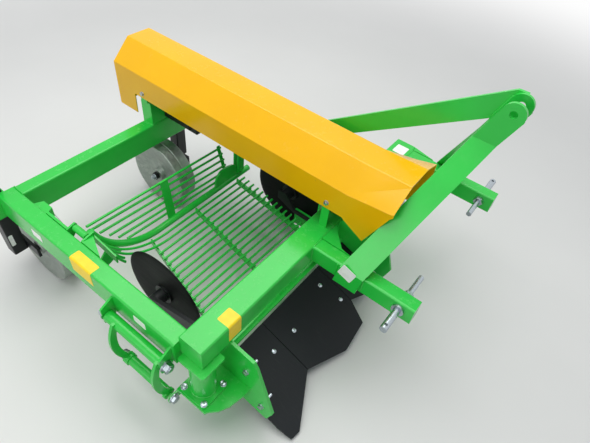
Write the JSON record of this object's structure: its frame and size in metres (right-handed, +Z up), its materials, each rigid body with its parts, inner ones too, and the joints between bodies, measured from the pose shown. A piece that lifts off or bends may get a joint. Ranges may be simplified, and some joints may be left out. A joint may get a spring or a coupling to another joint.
{
  "type": "tractor-mounted potato digger",
  "caption": "Tractor-carried potato digger: a share lifts the ridge onto a shaking rod sieve that throws the crop out at the side.",
  "frame": {"origin": "middle of the overall box in plan, on the ground it stands on", "axes": "+X forward in the direction of travel, +Y to the left, +Z up; the lower hitch pins lie along Y"},
  "size_m": [1.655, 1.603, 1.158],
  "materials": {
    "green_paint": "glossy bright green powder coat",
    "yellow_paint": "glossy yellow powder coat",
    "black_paint": "satin black paint",
    "zinc": "bright zinc plating",
    "galvanised": "dull hot-dip zinc with spangle",
    "bright_steel": "turned steel with light oil"
  },
  "bodies": {
    "frame": {"front_beam": "green_paint", "rear_beam": "green_paint", "side_beam": "green_paint", "spine": "green_paint", "gussets": "green_paint", "hitch_arms": "green_paint", "lower_pins": "zinc", "mast_bars": "green_paint", "rear_brace": "green_paint", "right_post": "green_paint", "post_bracket": "green_paint", "side_plates": "green_paint", "share_bar": "green_paint", "share_plates": "black_paint", "disc_arms": "black_paint", "cover": "yellow_paint", "cover_brackets": "green_paint", "bearing_bracket": "green_paint", "shaft_bearings": "black_paint", "shaker_box": "black_paint", "rocker_bearings": "green_paint", "rocker_ears": "green_paint", "hanger_bracket": "green_paint", "wheel_sockets": "green_paint"},
    "drive_shaft": {"drive_shaft": "bright_steel"},
    "left_rocker": {"rocker_shaft": "bright_steel", "rocker_arms": "green_paint"},
    "sieve": {"sieve_tube": "green_paint", "sieve_bars": "green_paint", "sieve_rods": "green_paint", "sieve_fence": "green_paint", "sieve_lugs": "green_paint"},
    "front_rocker": {"front_rocker": "green_paint"},
    "rear_hanger": {"rear_hanger": "green_paint"},
    "right_disc": {"disc_right": "black_paint", "hub_right": "black_paint"},
    "left_disc": {"disc_left": "black_paint", "hub_left": "black_paint"},
    "right_wheel_post": {"post_right": "black_paint"},
    "right_wheel": {"wheel_right": "galvanised"},
    "left_wheel_post": {"post_left": "black_paint"},
    "left_wheel": {"wheel_left": "galvanised"}
  },
  "joints": [
    {"name": "drive_shaft_spin", "type": "hinge", "parent": "frame", "child": "drive_shaft", "pos_m": [0.0725, 0.1405, 0.69], "axis": [1, 0, 0], "continuous": true},
    {"name": "sieve_shake", "type": "hinge", "parent": "frame", "child": "left_rocker", "pos_m": [0.0725, 0.2545, 0.498], "axis": [1, 0, 0], "range_deg": [-4, 4]},
    {"name": "sieve_level", "type": "hinge", "parent": "left_rocker", "child": "sieve", "pos_m": [0.0725, 0.2545, 0.258], "axis": [1, 0, 0], "range_deg": [-4, 4]},
    {"name": "front_rocker_swing", "type": "hinge", "parent": "frame", "child": "front_rocker", "pos_m": [0.1355, -0.7505, 0.392], "axis": [1, 0, 0], "range_deg": [-4, 4]},
    {"name": "rear_hanger_swing", "type": "hinge", "parent": "frame", "child": "rear_hanger", "pos_m": [-0.2975, -0.6215, 0.49], "axis": [1, 0, 0], "range_deg": [-4, 4]},
    {"name": "right_disc_spin", "type": "hinge", "parent": "frame", "child": "right_disc", "pos_m": [-0.0395, -0.4885, 0.207], "axis": [0, 1, 0], "continuous": true},
    {"name": "left_disc_spin", "type": "hinge", "parent": "frame", "child": "left_disc", "pos_m": [-0.0395, 0.3505, 0.207], "axis": [0, 1, 0], "continuous": true},
    {"name": "right_wheel_height", "type": "slide", "parent": "frame", "child": "right_wheel_post", "axis": [0, 0, 1], "range_m": [-0.08, 0]},
    {"name": "left_wheel_height", "type": "slide", "parent": "frame", "child": "left_wheel_post", "axis": [0, 0, 1], "range_m": [-0.08, 0]},
    {"name": "right_wheel_spin", "type": "hinge", "parent": "right_wheel_post", "child": "right_wheel", "pos_m": [-0.6365, -0.6255, 0.181], "axis": [0, 1, 0], "continuous": true},
    {"name": "left_wheel_spin", "type": "hinge", "parent": "left_wheel_post", "child": "left_wheel", "pos_m": [-0.6365, 0.0415, 0.181], "axis": [0, 1, 0], "continuous": true}
  ],
  "couplings": [
    {"joint": "sieve_level", "follows": "sieve_shake", "ratio": -1},
    {"joint": "front_rocker_swing", "follows": "sieve_shake", "ratio": 1},
    {"joint": "rear_hanger_swing", "follows": "sieve_shake", "ratio": 1}
  ]
}
